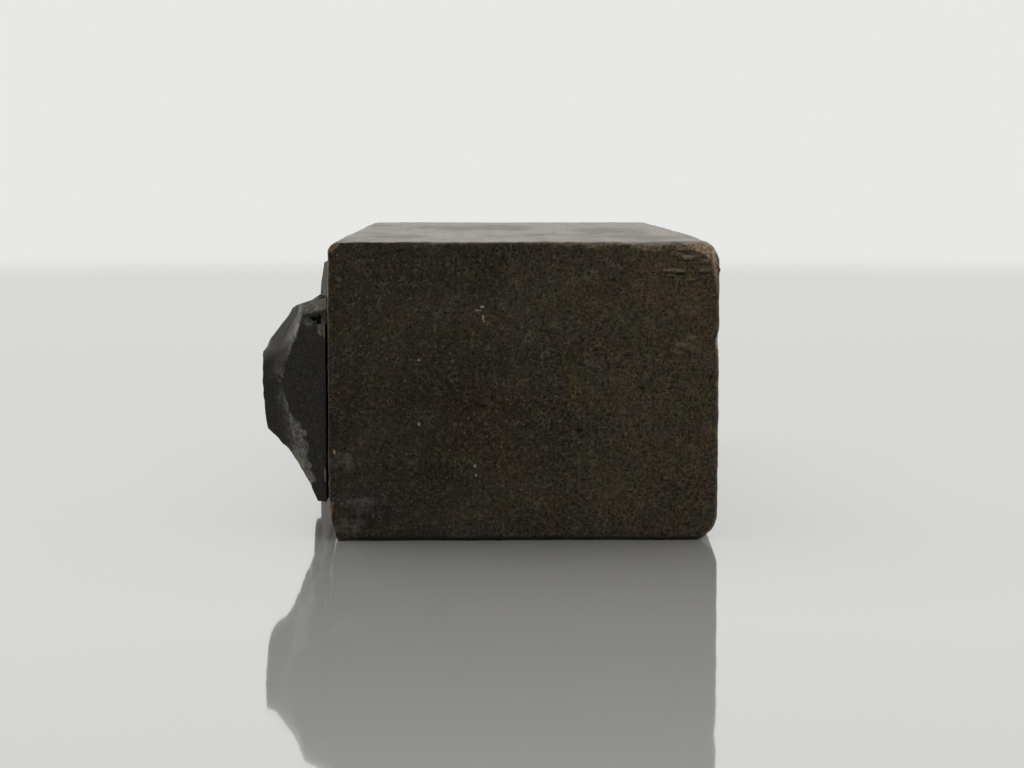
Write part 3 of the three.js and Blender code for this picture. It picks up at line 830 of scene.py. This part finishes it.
def broken_hole(along, height, up, ragged):
    """Where the near end is broken in, and where the metal beside it shines."""
    core = np.minimum.reduce([out_of(height, up, mark) for mark in BROKEN_HOLLOWS]) + 8 * ragged
    crumbled = out_of(height, up, CRUMBLED_METAL) + 9 * ragged
    rim = out_of(height, up, SHINING_RIM) + 4 * ragged
    on_front = eased(along, *BROKEN_ALONG)
    hollow = on_front * eased(core, 1.0, 0.7)
    shine = 0.36 * eased(crumbled, 1.0, 0.6) + 0.62 * eased(rim, 1.1, 0.8)
    return hollow, on_front * shine * (1 - hollow)


def standing_out(surface):
    """How far each place of a grid of heights stands out from those around it, from 0 to 1."""
    mean = surface
    for _ in range(3):
        padded = np.pad(mean, 1, mode="edge")
        mean = (padded[:-2, 1:-1] + padded[2:, 1:-1] + padded[1:-1, :-2] + padded[1:-1, 2:]) / 4
    return np.clip((surface - mean) / 0.05, 0, 1)


def plate_grid():
    """Places along and up the plate, closest where the near end is cut, at the brads and at the head."""
    rows = ruled(
        PLATE_FRONT, (3.6, 0.055), (7.2, 0.2), (9.4, 0.09), (19.2, 0.3), (21.4, 0.09),
        (HEAD_FRONT - 0.1, 0.3), (HEAD_FRONT + 0.3, 0.04), (41.3, 0.25), (PLATE_REAR, 0.08),
    )
    columns = ruled(0, (0.02, 0.004), (0.24, 0.009), (0.75, 0.012), (1, 0.008))
    along, share = np.meshgrid(rows, columns, indexing="ij")
    crest = PLATE_TOP + HEAD_RISE * eased(along, HEAD_FRONT - 0.06, HEAD_FRONT + 0.06)
    return along, PLATE_FOOT + (crest - PLATE_FOOT) * share


def closed_plate(top, gap, shape):
    """Points and outward faces of a grid of places, closed by walls and an underside."""
    grid = np.arange(len(top)).reshape(shape)
    rim = np.concatenate([grid[:-1, 0], grid[-1, :-1], grid[:0:-1, -1], grid[0, :0:-1]])
    below = len(top) + np.arange(len(rim))
    under = top[rim].copy()
    under[:, 0] = -gap[rim]
    faces = np.stack([grid[:-1, :-1], grid[:-1, 1:], grid[1:, 1:], grid[1:, :-1]], axis=-1).reshape(-1, 4)
    sides = np.stack([rim, np.roll(rim, -1), np.roll(below, -1), below], axis=1)
    return np.concatenate([top, under]), [*faces.tolist(), *sides.tolist(), below.tolist()]


def plate_body(finish):
    grid_along, grid_up = plate_grid()
    along, up = grid_along.ravel(), grid_up.ravel()
    flat = np.stack([np.zeros(len(up)), along, up], axis=1)
    ragged = 0.045 * lumps(flat, 0.9, 11) + 0.025 * lumps(flat, 0.35, 12)
    trimmed, bare = trimmed_height(along, up, ragged)
    head = head_height(along, up) + 0.6 * ragged
    head_wall = (head > trimmed) & (along < HEAD_FRONT + 0.15)
    height = np.minimum(np.maximum(trimmed, head), bored_height(along, up, ragged))
    near_gap = NEAR_GAP + (TOUCHING_GAP - NEAR_GAP) * eased(up, *TOUCHING_UP)
    gap = SEAT_GAP + (near_gap - SEAT_GAP) * eased(along, *NEAR_GAP_ALONG)
    height = np.maximum(height, gap + LEAST_METAL)
    surface = flat + height[:, None]
    fine = 0.6 * lumps(surface, 0.3, 15) + 0.4 * lumps(surface, 0.12, 16)
    hollow, shine = broken_hole(along, height, up, 0.06 * fine)
    bare = np.where(head_wall, 1.0, np.maximum(bare, shine))
    edges = standing_out(height.reshape(grid_up.shape)).ravel() * eased(up, 12.2, 11.2)
    thin_edge = (along < PLATE_FRONT + 0.2) & (height < gap + LEAST_METAL + 0.06)
    rubbed = sum(eased(np.abs(up - centre), half, 0.2) for centre, half in RUBBED_EDGES)
    wear = np.maximum(0.45 * edges + 0.7 * head_wall, 1.2 * rubbed * thin_edge)
    top = np.stack([-height, along + BROKEN_DEPTH * hollow, up], axis=1)
    points, faces = closed_plate(top, gap, grid_up.shape)
    piece = plain_object("cast_plate", points, faces, finish)
    piece.data.set_sharp_from_angle(angle=PLATE_CREASE)
    for name, values in (("wear", wear), ("bare", bare), ("hollow", hollow)):
        store(piece, name, np.pad(values, (0, len(points) - len(top))))
    return piece


def new_growth(name, sizes):
    """A Geometry Nodes tree with named inputs, and a wire for each of them."""
    tree = bpy.data.node_groups.new(name, "GeometryNodeTree")
    for way in ("INPUT", "OUTPUT"):
        tree.interface.new_socket("Geometry", in_out=way, socket_type="NodeSocketGeometry")
    for label, value in sizes.items():
        kind = "NodeSocketInt" if isinstance(value, int) else "NodeSocketFloat"
        tree.interface.new_socket(label, in_out="INPUT", socket_type=kind)
    entry = tree.nodes.new("NodeGroupInput")
    return tree, {socket.name: Wire(tree, socket) for socket in entry.outputs if socket.name}


def end_growth(geometry, finish):
    """Ends a tree: its instances are made real and given their material."""
    whole = geometry.node("GeometryNodeRealizeInstances", {"Geometry": geometry})
    painted = whole.node("GeometryNodeSetMaterial", {"Geometry": whole, "Material": finish})
    leave = painted.tree.nodes.new("NodeGroupOutput")
    painted.tree.links.new(painted.socket, leave.inputs["Geometry"])


def joined(*parts):
    """All the geometry of several wires as one."""
    whole = parts[0].node("GeometryNodeJoinGeometry")
    for part in parts:
        part.tree.links.new(part.socket, whole.socket.node.inputs["Geometry"])
    return whole


def grown(tree, sizes, points=(), rounding=0.0):
    """The plain flat-shaded mesh that a tree grows from points in metres, with its edges rounded over."""
    seedling = meshed(tree.name, points)
    growth = seedling.modifiers.new("growth", "NODES")
    growth.node_group = tree
    for socket in tree.interface.items_tree:
        if socket.in_out == "INPUT" and socket.name in sizes:
            growth[socket.identifier] = sizes[socket.name]
    if rounding:
        edge = seedling.modifiers.new("edge", "BEVEL")
        edge.width = rounding * MM
        edge.segments = 2
        edge.angle_limit = FIGURE_EDGE
    bpy.context.view_layer.update()
    seen = seedling.evaluated_get(bpy.context.evaluated_depsgraph_get())
    seedling.data = bpy.data.meshes.new_from_object(seen)
    seedling.modifiers.clear()
    seedling.data.shade_flat()
    return seedling


def onto_plate(figures, along, up):
    """Turns figures that lie flat, with X up the plate and Y along it, onto the printing side."""
    place = tuple((np.array([-FIELD_HEIGHT, along, up]) + WOOD_CORNER) * MM)
    turn = {"Geometry": figures, "Translation": place, "Rotation": (0, -math.pi / 2, 0)}
    return figures.node("GeometryNodeTransform", turn)


def figure(wires, sides, radius):
    """A raised figure with sloping walls, its root sunk below the plate's field."""
    root = wires["Root depth"]
    depth = wires["Relief height"] + root
    foot = radius + wires["Draft"] * depth
    sizes = {"Vertices": sides, "Radius Top": radius, "Radius Bottom": foot, "Depth": depth}
    cone = radius.node("GeometryNodeMeshCone", sizes, fill_type="NGON")
    sunk = vector(cone, Z=-root)
    return cone.node("GeometryNodeTransform", {"Geometry": cone, "Translation": sunk})


def rule_along(wires, line):
    """A raised rule with sloping walls along a closed line."""
    rise, root, width = wires["Relief height"], wires["Root depth"], wires["Rule width"]
    depth = rise + root
    foot = width + 2 * wires["Draft"] * depth
    # Curve to Mesh turns the profile over, so its bottom is the rule's printing side.
    sizes = {"Bottom Width": width, "Top Width": foot, "Offset": 0.0, "Height": depth}
    profile = line.node("GeometryNodeCurvePrimitiveQuadrilateral", sizes, mode="TRAPEZOID")
    upright = line.node("GeometryNodeSetCurveNormal", {"Curve": line}, mode="Z_UP")
    rule = line.node("GeometryNodeCurveToMesh", {"Curve": upright, "Profile Curve": profile})
    sunk = vector(line, Z=(rise - root) / 2)
    return line.node("GeometryNodeTransform", {"Geometry": rule, "Translation": sunk})


def lined_up(shape, count, pitch, settings):
    """So many of a shape in a row along Y, centred on the origin."""
    start = vector(pitch, Y=(count - 1) * pitch * -0.5)
    sizes = {"Count": count, "Start Location": start, "Offset": vector(pitch, Y=pitch)}
    row = pitch.node("GeometryNodeMeshLine", sizes)
    return row.node("GeometryNodeInstanceOnPoints", {"Points": row, "Instance": shape, **settings})


def band_ornament(finish):
    """A ruled band of lozenges with a dot between each two."""
    band_length = BAND_REAR - BAND_FRONT
    steps = int((band_length - 2 * RULE_WIDTH - LOZENGE_LENGTH) / LOZENGE_PITCH)
    sizes = {
        **FIGURE_SIZES,
        "Band length": band_length * MM,
        "Band width": 2.5 * MM,
        "Corner cut": 0.5 * MM,
        "Lozenges": steps + 1,
        "Lozenge length": LOZENGE_LENGTH * MM,
        "Lozenge width": 0.65 * MM,
        "Lozenge pitch": LOZENGE_PITCH * MM,
        "Dot diameter": 0.4 * MM,
    }
    tree, wires = new_growth("band_ornament", sizes)
    rule_width, count, pitch = wires["Rule width"], wires["Lozenges"], wires["Lozenge pitch"]
    frame_size = {"Width": wires["Band width"] - rule_width, "Height": wires["Band length"] - rule_width}
    outline = pitch.node("GeometryNodeCurvePrimitiveQuadrilateral", frame_size, mode="RECTANGLE")
    corners = {"Curve": outline, "Count": 1, "Radius": wires["Corner cut"], "Limit Radius": True}
    cut = outline.node("GeometryNodeFilletCurve", corners, mode="POLY")
    slim = vector(pitch, X=wires["Lozenge width"] / wires["Lozenge length"], Y=1.0, Z=1.0)
    lozenge = figure(wires, LOZENGE_SIDES, wires["Lozenge length"] * 0.5)
    dot = figure(wires, DOT_SIDES, wires["Dot diameter"] * 0.5)
    lozenges = lined_up(lozenge, count, pitch, {"Scale": slim})
    figures = joined(rule_along(wires, cut), lozenges, lined_up(dot, count - 1, pitch, {}))
    end_growth(onto_plate(figures, (BAND_FRONT + BAND_REAR) / 2, BAND_CENTRE), finish)
    return grown(tree, sizes, rounding=FIGURE_ROUND)


def rosette(finish):
    """A ring of petals round an eye, on the head of the plate."""
    sizes = {
        **FIGURE_SIZES,
        "Ring diameter": 5.2 * MM,
        "Petals": 8,
        "Petal length": 0.9 * MM,
        "Petal width": 0.42 * MM,
        "Petal circle": 1.18 * MM,
        "Eye diameter": 0.6 * MM,
    }
    tree, wires = new_growth("rosette", sizes)
    middle = (wires["Ring diameter"] - wires["Rule width"]) * 0.5
    ring_size = {"Resolution": RING_SIDES, "Radius": middle}
    ring = middle.node("GeometryNodeCurvePrimitiveCircle", ring_size)
    circle_size = {"Vertices": wires["Petals"], "Radius": wires["Petal circle"]}
    places = middle.node("GeometryNodeMeshCircle", circle_size)
    position = middle.node("GeometryNodeInputPosition")
    outward = middle.node("FunctionNodeAlignRotationToVector", {"Vector": position}, axis="X")
    slim = vector(middle, X=1.0, Y=wires["Petal width"] / wires["Petal length"], Z=1.0)
    petal = figure(wires, PETAL_SIDES, wires["Petal length"] * 0.5)
    laid = {"Points": places, "Instance": petal, "Rotation": outward, "Scale": slim}
    petals = places.node("GeometryNodeInstanceOnPoints", laid)
    eye = figure(wires, EYE_SIDES, wires["Eye diameter"] * 0.5)
    figures = joined(rule_along(wires, ring), petals, eye)
    end_growth(onto_plate(figures, (HEAD_FRONT + PLATE_REAR) / 2, RING_CENTRE), finish)
    return grown(tree, sizes, rounding=FIGURE_ROUND)


def turned(profile, sides):
    """Points and outward faces of a profile of (radius, height) turned about Z, closed at both ends."""
    ring = [(math.cos(2 * math.pi * i / sides), math.sin(2 * math.pi * i / sides)) for i in range(sides)]
    points = [(0, 0, profile[0][1])]
    points += [(radius * c, radius * s, height) for radius, height in profile[1:-1] for c, s in ring]
    points.append((0, 0, profile[-1][1]))
    last = len(points) - 1
    faces = []
    for i in range(sides):
        j = (i + 1) % sides
        faces.append((0, 1 + j, 1 + i))
        for lower in range(1, last - sides, sides):
            faces.append((lower + i, lower + j, lower + sides + j, lower + sides + i))
        faces.append((last - sides + i, last - sides + j, last))
    return points, faces


def brads(finish):
    """Six brads, each turned a little differently, with the heads sunk in their seats."""
    points, faces = turned(BRAD_OUTLINE, BRAD_SIDES)
    mould = meshed("brad_mould", np.array(points) * MM, faces)
    sizes = {"Greatest lean": BRAD_LEAN, "Seed": BRAD_SEED}
    tree, wires = new_growth("brads", sizes)
    lean, seed = wires["Greatest lean"], wires["Seed"]
    shape = seed.node("GeometryNodeObjectInfo", {"Object": mould}, "Geometry")
    most = vector(seed, X=lean, Y=lean, Z=math.pi)
    least = seed.node("ShaderNodeVectorMath", {0: most, "Scale": -1.0}, operation="SCALE")
    drawn = {0: least, 1: most, "Seed": seed}
    turn = seed.node("FunctionNodeRandomValue", drawn, data_type="FLOAT_VECTOR")
    own_turn = seed.node("FunctionNodeEulerToRotation", {"Euler": turn})
    into_wood = {"Rotation": (0, -math.pi / 2, 0), "Rotate By": own_turn}
    aim = seed.node("FunctionNodeRotateRotation", into_wood, rotation_space="LOCAL")
    laid = {"Points": wires["Geometry"], "Instance": shape, "Rotation": aim}
    end_growth(seed.node("GeometryNodeInstanceOnPoints", laid), finish)
    bench_places = np.array([(0.0, along, up) for along, up in BRAD_PLACES]) + np.array(BRAD_DRIVEN)
    piece = grown(tree, sizes, (bench_places + WOOD_CORNER) * MM)
    piece.data.shade_smooth()
    piece.data.set_sharp_from_angle(angle=BRAD_CREASE)
    bpy.data.objects.remove(mould)
    return piece


def table(finish):
    side = FLOOR_HALF_SIDE
    corners = [(-side, -side, 0), (side, -side, 0), (side, side, 0), (-side, side, 0)]
    return plain_object("table", corners, [(0, 1, 2, 3)], finish)


def top_lamp():
    """A square soft lamp aimed at the block. The table doesn't mirror it."""
    light = bpy.data.lights.new("top_lamp", "AREA")
    light.size = LAMP_SIDE
    light.energy = LAMP_POWER
    lamp = placed("top_lamp", light)
    lamp.location = LAMP_PLACE
    lamp.rotation_euler = (-Vector(LAMP_PLACE)).to_track_quat("-Z", "Y").to_euler()
    lamp.visible_glossy = False


def studio_world():
    """A pale surround for the camera and reflections, dim on the camera's side, and a soft even light."""
    world = bpy.data.worlds.new("studio")
    bpy.context.scene.world = world
    world.use_nodes = True
    tree = world.node_tree
    path = tree.nodes.new("ShaderNodeLightPath")
    direct, glossy = (Wire(tree, path.outputs[f"Is {kind} Ray"]) for kind in ("Camera", "Glossy"))
    seen = direct + glossy
    direction = Wire(tree, tree.nodes.new("ShaderNodeTexCoord").outputs["Generated"])
    _, along, up = axes_of(direction)
    surround = CAMERA_SIDE_SHADE + (1 - CAMERA_SIDE_SHADE) * rises(along, -0.7, 0.3)
    surround = surround * (HORIZON_SHADE + (ZENITH_LIGHT - HORIZON_SHADE) * rises(up, 0.03, 0.3))
    strength = direct + (1 - direct) * surround
    shown = seen.node("ShaderNodeBackground", {"Color": BACKGROUND, "Strength": strength})
    given = seen.node("ShaderNodeBackground", {"Color": (1, 1, 1, 1), "Strength": AMBIENT})
    both = seen.node("ShaderNodeMixShader", {0: seen, 1: given, 2: shown})
    tree.links.new(both.socket, tree.nodes["World Output"].inputs["Surface"])


def photograph_camera():
    lens = bpy.data.cameras.new("camera")
    lens.sensor_width = SENSOR_WIDTH
    lens.lens = FOCAL_PIXELS / PHOTO_WIDTH * SENSOR_WIDTH
    lens.clip_start = MM
    camera = placed("camera", lens)
    camera.location = (np.array(CAMERA_PLACE) + WOOD_CORNER) * MM
    camera.rotation_euler = (math.radians(90 - CAMERA_PITCH), 0, math.radians(-CAMERA_YAW))
    bpy.context.scene.camera = camera


bpy.context.scene.view_settings.view_transform = "Standard"
photograph_camera()
studio_world()
top_lamp()

floor = table(floor_finish())

wood = wood_block(stained_wood_finish())
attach(wood, "root")
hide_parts("wood_block")

type_metal = type_metal_finish()
plate = plate_body(type_metal)
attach(plate, "root")
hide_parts("printing_plate")
for ornament in (band_ornament(type_metal), rosette(type_metal)):
    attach(ornament, "root")

nails = brads(brad_steel_finish())
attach(nails, "root")
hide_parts(*(f"brad_{i + 1}" for i in range(len(BRAD_PLACES))))
